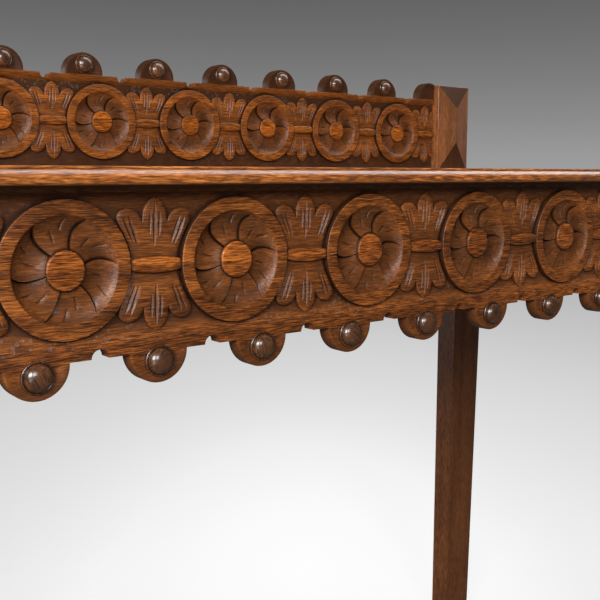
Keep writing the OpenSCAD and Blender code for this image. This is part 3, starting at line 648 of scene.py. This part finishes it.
def row_tree():
    """Sets one ornament on each point, turned a little differently as hand work is."""
    tree = bpy.data.node_groups.new("ornament_row", "GeometryNodeTree")
    face = tree.interface
    face.new_socket("Geometry", in_out="OUTPUT", socket_type="NodeSocketGeometry")
    for name, kind in (("Points", "NodeSocketGeometry"), ("Ornament", "NodeSocketObject"),
                       ("Turn", "NodeSocketFloat"), ("Seed", "NodeSocketInt"), ("Material", "NodeSocketMaterial")):
        face.new_socket(name, in_out="INPUT", socket_type=kind)
    given = add(tree, "NodeGroupInput").outputs
    info = add(tree, "GeometryNodeObjectInfo", {"Object": given["Ornament"]})
    back = add(tree, "ShaderNodeMath", {0: given["Turn"], 1: -1}, operation="MULTIPLY")
    angle = add(tree, "FunctionNodeRandomValue", {2: back.outputs[0], 3: given["Turn"], "Seed": given["Seed"]})
    turn = add(tree, "ShaderNodeCombineXYZ", {1: angle.outputs[1]})
    size = add(tree, "FunctionNodeRandomValue", {2: .99, 3: 1.0, "Seed": given["Seed"]})
    placed = add(tree, "GeometryNodeInstanceOnPoints", {
        "Points": given["Points"], "Instance": info.outputs["Geometry"], "Rotation": turn.outputs[0],
        "Scale": size.outputs[1]})
    which = add(tree, "GeometryNodeInputIndex")
    marked = add(tree, "GeometryNodeStoreNamedAttribute", {
        "Geometry": placed.outputs[0], "Name": "which", "Value": which.outputs[0]},
        data_type="INT", domain="INSTANCE")
    real = add(tree, "GeometryNodeRealizeInstances", {"Geometry": marked.outputs[0]})
    done = add(tree, "GeometryNodeSetMaterial", {"Geometry": real.outputs[0], "Material": given["Material"]})
    add(tree, "NodeGroupOutput", {0: done.outputs[0]})
    return tree


ROW = row_tree()
ORNAMENTS = {}
for make in (roundel, leaf_spray, spindle, boss):
    ORNAMENTS[make.__name__] = put(make.__name__ + "_pattern", mesh_of(make.__name__, make()))


def row(ornament, places, turn, seed, material):
    """Plain mesh, in metres, of an ornament at each of these places along X."""
    points = bpy.data.meshes.new("row")
    points.from_pydata([(x * MM, 0, 0) for x in places], [], [])
    holder = put("row", points)
    modifier = holder.modifiers.new("row", "NODES")
    modifier.node_group = ROW
    values = {"Ornament": ORNAMENTS[ornament], "Turn": math.radians(turn), "Seed": seed, "Material": material}
    for item in ROW.interface.items_tree:
        if item.in_out == "INPUT" and item.name in values:
            modifier[item.identifier] = values[item.name]
    holder.update_tag()
    dg = bpy.context.evaluated_depsgraph_get()
    mesh = bpy.data.meshes.new_from_object(holder.evaluated_get(dg))
    bpy.data.objects.remove(holder)
    return mesh


def spaced(run, gaps, shift=0):
    """Places of the marks that part a run into equal gaps."""
    return [(i / gaps - .5) * run + shift for i in range(gaps + 1)]


def carved_board(name, length, thick, edge, far, run, pitch_count, lobes, lobe_r, lobe_drop, slope, seed, wood,
                 matrix, bowl=.4, shine=.36, crown=0):
    """Builds a whole carved board in its own frame, then sets it in place. The bowls are painted darker
    with stain and shade, the spindles shine from rubbing, and the colour may darken towards the lobes, as on a crown."""
    pitch = run / pitch_count
    leaves = spaced(run, pitch_count)
    centres = [x + pitch / 2 for x in leaves[:-1]]
    notches = [(a + b) / 2 for a, b in zip(lobes, lobes[1:])]
    band_top = 8
    band = lobed_band(length, edge, lobes, lobe_r, lobe_drop, notches, thick, slope, band_top)
    slab = ground_slab(length, edge + band_top, far, edge, slope, thick, centres)
    meshes = [mesh_of("wood", band), mesh_of("wood", slab), row("roundel", centres, 5, seed, wood),
              row("leaf_spray", leaves, .8, seed + 1, wood), row("spindle", leaves, 1.2, seed + 2, wood)]
    mesh = merged(name, meshes)
    at = np.arange(len(mesh.vertices))
    ground = (at >= len(band[0])) & (at < len(band[0]) + len(slab[0]))
    spindles = len(at) - len(meshes[-1].vertices)

    def from_roundel(x, z):
        return np.hypot(np.abs((x / pitch + pitch_count / 2) % 1 - .5) * pitch, z)

    def outer_wall(r, y):
        return (np.abs(r - ROUNDEL_R) < .6) & (y > .4)

    def hollow(co):
        # Stain and painted shade: the colour darkens with depth, most in the bowls, walls and grooves,
        # in the lobes' sides and towards their tips, and on the gallery towards its lobed edge. The friezes'
        # ground is painted paler towards the top, to lift the shadow of the top
        x, y, z = co.T / MM
        deep = np.where(y < 6.5, np.clip(y / 5.2, 0, 1) ** 1.8, .45)
        if not crown:
            deep = np.where(ground, deep * (.86 - .3 * smooth((z - 34) / 8)), deep)
        r = from_roundel(x, z)
        in_bowl = (r < ROUNDEL_R - RIM_W) & (r > BUTTON_R)
        groove = (np.abs(r - BUTTON_R - .5) < .5) & (y > .6)
        deep = np.where(in_bowl, bowl + .35 * deep, deep)
        deep = np.where(outer_wall(r, y) | groove, 1, deep)
        deep = np.maximum(deep, crown * smooth((edge + 24 - z) / 16))
        lobe = np.minimum(.42 + .33 * (edge - z) / lobe_r + crown, 1)
        return np.where(z < edge - .4, np.where(y > 2.2, 1, lobe), deep)

    def rubbed(co, worn):
        # Cloths reach the buttons and the spindles, and not the outer walls
        x, y, z = co.T / MM
        r = from_roundel(x, z)
        worn = np.where((r < BUTTON_R) & (y < 1), np.maximum(worn, .38), worn)
        worn = np.where((at >= spindles) & (y < 1.6), np.maximum(worn, shine), worn)
        return np.where(outer_wall(r, y), np.minimum(worn, 0), worn)

    grained(mesh, "XZY", (seed * .37, seed * .113, seed * .071), hollow, rubbed)
    height = positions(mesh)[:, 2] / MM - edge
    attribute(mesh, "tooled", "FLOAT", np.where(ground, .5 + .5 * smooth((26 - height) / 8), 0))
    mesh.transform(matrix)
    return piece(name, mesh, wood, [name])


def boss_row(name, places, drop, seed, matrix):
    """Turned bosses along a board's lobes, the grain of each at its own slant."""
    mesh = row("boss", places, 0, seed, TURNED)
    which = np.empty(len(mesh.vertices), np.int32)
    mesh.attributes["which"].data.foreach_get("value", which)
    co = positions(mesh)
    rng = np.random.default_rng(seed)
    lean, slip = rng.uniform(.5, 2.6, len(places)), rng.uniform(0, 9, (len(places), 3))
    x, z = co[:, 0] - np.array(places)[which] * MM, co[:, 2]
    c, s = np.cos(lean[which]), np.sin(lean[which])
    attribute(mesh, "grain", "FLOAT_VECTOR", np.stack([x * c + z * s, z * c - x * s, co[:, 1]], 1) + slip[which])
    attribute(mesh, "worn", "FLOAT", worn_edges(mesh))
    attribute(mesh, "stain", "FLOAT", np.zeros(len(co)))
    mesh.transform(Matrix.Translation((0, 0, -drop * MM)))
    mesh.transform(matrix)
    return piece(name, mesh, TURNED, [name], 60)


def stand(x, y, z, turn=0, over=0):
    """Where a board stands: turned to face a side, or set on its head."""
    return (Matrix.Translation((x * MM, y * MM, z * MM)) @ Matrix.Rotation(math.radians(turn), 4, "Z")
            @ Matrix.Rotation(math.radians(over), 4, "Y"))


FRONT = stand(0, FRIEZE_Y, FRIEZE_Z)
RIGHT = stand(FRIEZE_X, SIDE_MIDDLE_Y, FRIEZE_Z, turn=90)
LEFT = stand(-FRIEZE_X, SIDE_MIDDLE_Y, FRIEZE_Z, turn=-90)
GALLERY = stand(0, GALLERY_Y, GALLERY_Z, over=180)
FRONT_RUN, SIDE_RUN, GALLERY_RUN = 1000, 368, 969.6
FRONT_LOBES, SIDE_LOBES = spaced(FRONT_RUN, 12), spaced(SIDE_RUN, 4)
# The gallery's lobes are set 14 mm to the right, and its right post cuts into the last of them
GALLERY_LOBES = spaced(955.6, 10, -14)
for name, length, run, count, lobes, seed, matrix in (("front", 1056, FRONT_RUN, 8, FRONT_LOBES, 1, FRONT),
                                                      ("right", 414, SIDE_RUN, 3, SIDE_LOBES, 2, RIGHT),
                                                      ("left", 414, SIDE_RUN, 3, SIDE_LOBES, 3, LEFT)):
    carved_board(name + "_frieze", length, FRIEZE_T, FRIEZE_EDGE, FRIEZE_FAR, run, count, lobes,
                 lobe_r=21.2, lobe_drop=0, slope=(4, 18), seed=seed, wood=CARVED, matrix=matrix)
    boss_row(name + "_bosses", lobes, FRIEZE_BOSS_DROP - FRIEZE_EDGE, seed + 20, matrix)
carved_board("gallery_board", 1006, GALLERY_T, GALLERY_EDGE, GALLERY_FAR, GALLERY_RUN, 8, GALLERY_LOBES,
             lobe_r=23.15, lobe_drop=2.3, slope=(2, 8), seed=4, wood=CARVED_BACK, matrix=GALLERY,
             bowl=.5, shine=0, crown=.5)
boss_row("gallery_bosses", GALLERY_LOBES[1:], GALLERY_BOSS_DROP - GALLERY_EDGE, 24, GALLERY)
for obj in ORNAMENTS.values():
    bpy.data.objects.remove(obj)


# Top boards

def edge_profile():
    """(in from the edge, below the top) down the moulded edge: fillet, quirk, sloped round and undercut."""
    points = [(4.4, 0), (3.95, .06), (3.7, .22), (3.6, .5), (3.6, 1.15), (3.75, 1.35), (3.9, 1.6), (3.95, 1.9)]
    line = curve_through([(3.8, 2.1), (2.9, 2.85), (1.85, 3.85), (.95, 4.85), (.35, 5.9), (.05, 7.2), (.06, 8.8),
                          (.5, 10.2), (1.4, 11.2), (2.8, 11.7), (4.5, 11.8)], .45)
    points += [(max(o, .01), d) for o, d in line]
    return points + [(4.9, 11.9), (9, 11.7), (14, 11.7), (18, 12), (19.2, 13), (19.5, 15.9)]


def top_board(name, y0, y1, moulded_front, seed):
    """One board of the top, with the moulding on its ends and on the front edge of the front board."""
    half = TOP_LEN / 2
    rings = []
    for o, d in [(14, 0)] + edge_profile() + [(20, TOP_T)]:
        ease = .25 if d < .3 else 0
        front = y0 + o if moulded_front else y0 + ease
        rear = y1 - ease
        rings.append(np.array([(-half + o, front, TABLE_H - d), (half - o, front, TABLE_H - d),
                               (half - o, rear, TABLE_H - d), (-half + o, rear, TABLE_H - d)]))
    mesh = mesh_of(name, rings_solid(rings[::-1]))

    def below_top(co):
        return TABLE_H - co[:, 2] / MM

    # Painted shade: the undercut below the round is painted dark, as it lies in the nosing's shadow
    def dark_undercut(co):
        d = below_top(co)
        return smooth((d - 11.1) / .7) * smooth(13.4 - d)

    def rubbed_nosing(co, worn):
        d = below_top(co)
        nosing = .12 * smooth((d - 2) / 1.5) * smooth((11.7 - d) / 2)
        return np.where(d > 11.2, np.minimum(worn, 0), np.maximum(worn, nosing))

    grained(mesh, "XYZ", (seed * .61, seed * .217, seed * .043), dark_undercut, rubbed_nosing)
    board = piece(name, mesh, PLANED, [name], 30)
    # The underside was stained but not polished
    mesh.materials.append(LEG)
    for face in mesh.polygons:
        face.material_index = int(face.center.z < (TABLE_H - 11.6) * MM)
    return board


top_board("top_front_board", -TOP_DEP / 2, FRONT_JOINT_Y, True, 5)
top_board("top_middle_board", FRONT_JOINT_Y, REAR_JOINT_Y, False, 6)
top_board("top_rear_board", REAR_JOINT_Y, TOP_DEP / 2, False, 7)


# Legs and gallery posts

def softened(name, shape, width):
    """Mesh of a joiner's solid: flat faces with eased arrises."""
    mesh = mesh_of(name, shape)
    bm = bmesh.new()
    bm.from_mesh(mesh)
    sharp = [e for e in bm.edges if e.calc_face_angle() > math.radians(50)]
    eased = bmesh.ops.bevel(bm, geom=sharp, offset=width * MM, segments=3, profile=.5, affect="EDGES",
                            clamp_overlap=True)
    for f in bm.faces:
        f.smooth = False
    for f in eased["faces"]:
        f.smooth = True
    bm.to_mesh(mesh)
    bm.free()
    return mesh


def leg(name, side, front, seed):
    """Tapered leg, with four facets and an upright ridge on the block of a front one."""
    x_in, x_out, x_foot = 528, 590, 579
    if front:
        y_out, y_in, y_foot = -247, -209, -213
        points = [(x_in, y_out, 0), (x_foot, y_out, 0), (x_foot, y_foot, 0), (x_in, y_foot, 0)]
        for z in (630, 744):
            points += [(x_in, y_out, z), (x_out, y_out, z), (x_out, y_in, z), (x_in, y_in, z)]
        points += [(x_in, y_out, 639), (x_out, y_out, 639), (559, y_out - 6, 670), (559, y_out - 6, 713)]
        faces = [(3, 2, 1, 0), (0, 1, 5, 4), (1, 2, 6, 5), (2, 3, 7, 6), (3, 0, 4, 7), (4, 5, 13, 12),
                 (5, 6, 10, 9, 13), (6, 7, 11, 10), (7, 4, 12, 8, 11), (8, 9, 10, 11),
                 (12, 13, 14), (13, 9, 15, 14), (9, 8, 15), (8, 12, 14, 15)]
        shape = np.array(points, float), faces
    else:
        y_out, y_in, y_foot = 243, 205, 209
        shape = rings_solid([np.array([(x_in, yi, z), (x_in, y_out, z), (xo, y_out, z), (xo, yi, z)])
                             for z, xo, yi in ((0, x_foot, y_foot), (630, x_out, y_in), (744, x_out, y_in))])
    mesh = softened(name, mirror_x(shape) if side < 0 else shape, 1.4)
    grained(mesh, "ZXY", (seed * .53, seed * .119, seed * .087))
    return piece(name, mesh, LEG, [name], None)


for name, side, front, seed in (("front_left_leg", -1, True, 8), ("front_right_leg", 1, True, 9),
                                ("rear_left_leg", -1, False, 10), ("rear_right_leg", 1, False, 11)):
    leg(name, side, front, seed)


def post(name, side, seed):
    """Gallery post whose front has four facets that meet in an upright ridge."""
    x0, x1, y0, y1, z0, z1, rise, foot, head = 503, 571, 228.5, 258.5, 760, POST_TOP, 7.5, POST_FOOT, 34
    mid = (x0 + x1) / 2
    points = [(x, y, z) for y in (y0, y1) for x, z in ((x0, z0), (x1, z0), (x1, z1), (x0, z1))]
    points += [(mid, y0 - rise, z0 + foot), (mid, y0 - rise, z1 - head)]
    faces = [(7, 6, 5, 4), (0, 4, 5, 1), (1, 5, 6, 2), (2, 6, 7, 3), (3, 7, 4, 0),
             (0, 1, 8), (1, 2, 9, 8), (2, 3, 9), (3, 0, 8, 9)]
    shape = np.array(points, float), faces
    mesh = softened(name, mirror_x(shape) if side < 0 else shape, .9)
    # Painted light: the side towards the middle of the gallery is painted paler, as a lit side with a sheen
    grained(mesh, "ZXY", (seed * .47, seed * .131, seed * .091),
            rubbed=lambda co, worn: np.where(np.abs(co[:, 0]) < (x0 + .05) * MM, .45, worn))
    return piece(name, mesh, POST, [name], None)


post("gallery_left_post", -1, 12)
post("gallery_right_post", 1, 13)

# Hidden joinery keeps its solids
STEEL = screw_steel()
FINISH = {"front_rail": PLAIN_X, "rear_rail": RAIL_X, "left_rail": PLAIN_Y, "right_rail": PLAIN_Y,
          "top_tongues": PLAIN_X, "gallery_board_dowels": PLAIN_Z, "gallery_post_dowels": PLAIN_Z,
          "front_rail_pegs": PLAIN_Y, "rear_rail_pegs": RAIL_Y, "side_rail_pegs": RAIL_X,
          "front_left_block": PLAIN_Z, "front_right_block": PLAIN_Z, "rear_left_block": PLAIN_Z,
          "rear_right_block": PLAIN_Z, "top_buttons": PLAIN_Y, "button_screws": STEEL, "frieze_screws": STEEL}
for name, material in FINISH.items():
    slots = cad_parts[name].data.materials
    slots.clear()
    slots.append(material)


# Studio

def studio_floor():
    """Pale matt floor with a pool of light that runs off to a grey distance. The camera sees it pale,
    and the wood receives little light back from it."""
    material, tree, shader = new_material("floor_matt_paint")
    coords = add(tree, "ShaderNodeTexCoord")
    pool = add(tree, "ShaderNodeMapping", {"Vector": coords.outputs["Object"], "Location": (.45, .52, 0),
                                           "Rotation": (0, 0, math.radians(-37.6)), "Scale": (.62, 1.3, 1)},
               vector_type="TEXTURE")
    far = add(tree, "ShaderNodeVectorMath", {0: pool.outputs[0]}, operation="LENGTH")
    share = add(tree, "ShaderNodeMath", {0: far.outputs["Value"], 1: 1.0}, operation="ADD")
    share = add(tree, "ShaderNodeMath", {0: 1.0, 1: share.outputs[0]}, operation="DIVIDE")
    colour = add(tree, "ShaderNodeValToRGB", {"Fac": share.outputs[0]},
                 stops=[(0, "#9e9e9e"), (.06, "#a8a8a8"), (.15, "#bebebe"), (.26, "#cdcdcd"), (.36, "#dadada"),
                        (.43, "#e0e0e0"), (.53, "#eaeaea"), (.62, "#f3f3f3"), (.77, "#f9f9f9"), (1, "#fdfdfd")])
    path = add(tree, "ShaderNodeLightPath")
    dull = add(tree, "ShaderNodeMath", {0: path.outputs["Is Glossy Ray"], 1: .08}, operation="MULTIPLY")
    seen = add(tree, "ShaderNodeMath", {0: path.outputs["Is Camera Ray"], 1: dull.outputs[0]}, operation="MAXIMUM")
    lit = add(tree, "ShaderNodeMix", {0: .28, 6: linear("#000000"), 7: colour.outputs[0]}, data_type="RGBA")
    tone = add(tree, "ShaderNodeMix", {0: seen.outputs[0], 6: linear("#404040"), 7: lit.outputs[2]}, data_type="RGBA")
    glow = add(tree, "ShaderNodeMath", {0: seen.outputs[0], 1: .83}, operation="MULTIPLY")
    plug(tree, shader, {"Base Color": tone.outputs[2], "Emission Color": colour.outputs[0],
                        "Emission Strength": glow.outputs[0], "Roughness": .9, "Specular IOR Level": 0})
    mesh = bpy.data.meshes.new("floor")
    s = 60
    mesh.from_pydata([(-s, -s, 0), (s, -s, 0), (s, s, 0), (-s, s, 0)], [], [(0, 1, 2, 3)])
    mesh.materials.append(material)
    floor = put("floor", mesh)


def softbox(name, place, aim, width, height, power):
    """Soft lamp of this size in metres and power in watts."""
    lamp = bpy.data.lights.new(name, "AREA")
    lamp.shape, lamp.size, lamp.size_y, lamp.energy = "RECTANGLE", width, height, power
    obj = put(name, lamp)
    obj.location = place
    obj.rotation_euler = (Vector(aim) - Vector(place)).to_track_quat("-Z", "Y").to_euler()


def studio_world():
    """Dim room light, with a backdrop that darkens upwards where the camera sees it."""
    world = bpy.data.worlds.new("studio")
    bpy.context.scene.world = world
    world.use_nodes = True
    tree = world.node_tree
    room = tree.nodes["Background"]
    plug(tree, room, {"Color": linear("#f2f2f4"), "Strength": .08})
    coords = add(tree, "ShaderNodeTexCoord")
    up = add(tree, "ShaderNodeSeparateXYZ", {0: coords.outputs["Generated"]})
    colour = add(tree, "ShaderNodeValToRGB", {"Fac": up.outputs["Z"]},
                 stops=[(0, "#9e9e9e"), (.017, "#9b9b9b"), (.062, "#8a8a8a"), (.107, "#7b7b7b"), (.152, "#6d6d6d"),
                        (.19, "#636363"), (.35, "#505050")])
    seen = add(tree, "ShaderNodeBackground", {"Color": colour.outputs[0], "Strength": 1})
    path = add(tree, "ShaderNodeLightPath")
    # The backdrop stands behind the table, and the room on the camera's side is dim
    ahead = add(tree, "ShaderNodeVectorMath", {0: coords.outputs["Generated"], 1: (.61, .79, 0)},
                operation="DOT_PRODUCT")
    ahead = add(tree, "ShaderNodeMapRange", {"Value": ahead.outputs["Value"], "From Min": -.1, "From Max": .4})
    shine = add(tree, "ShaderNodeMath", {0: path.outputs["Is Glossy Ray"], 1: ahead.outputs[0]}, operation="MULTIPLY")
    shown = add(tree, "ShaderNodeMath", {0: path.outputs["Is Camera Ray"], 1: shine.outputs[0]}, operation="MAXIMUM")
    mix = add(tree, "ShaderNodeMixShader", {0: shown.outputs[0], 1: room.outputs[0], 2: seen.outputs[0]})
    tree.links.new(mix.outputs[0], tree.nodes["World Output"].inputs[0])


def photo_camera():
    """Camera half a metre before the front, level with the top, that looks to the right and a little down."""
    lens = bpy.data.cameras.new("camera")
    lens.lens, lens.sensor_width, lens.sensor_fit = 52.8, 36, "HORIZONTAL"
    lens.clip_start, lens.clip_end = .01, 200
    obj = put("camera", lens)
    obj.location = (-.5254, -.7522, .7547)
    obj.rotation_euler = Euler((math.radians(90 - 8.102), 0, math.radians(-37.592)))
    bpy.context.scene.camera = obj


studio_floor()
studio_world()
softbox("key", (-2.05, -1.56, 1.65), (.1, 0, .7), 1.0, .9, 65)
softbox("front", (-1.0, -2.4, 1.6), (-.1, 0, .7), .6, .6, 22)
softbox("low_left", (-1.7, -1.6, .35), (0, -.2, .68), .8, .5, 4)
softbox("overhead", (2.25, -.1, 2.2), (2.25, -.1, 0), 4.5, .9, 47)
softbox("left_rear", (-2.0, 2.6, 1.1), (.1, .1, .8), 1.5, 1.4, 22)
photo_camera()
bpy.context.scene.view_settings.view_transform = "Standard"
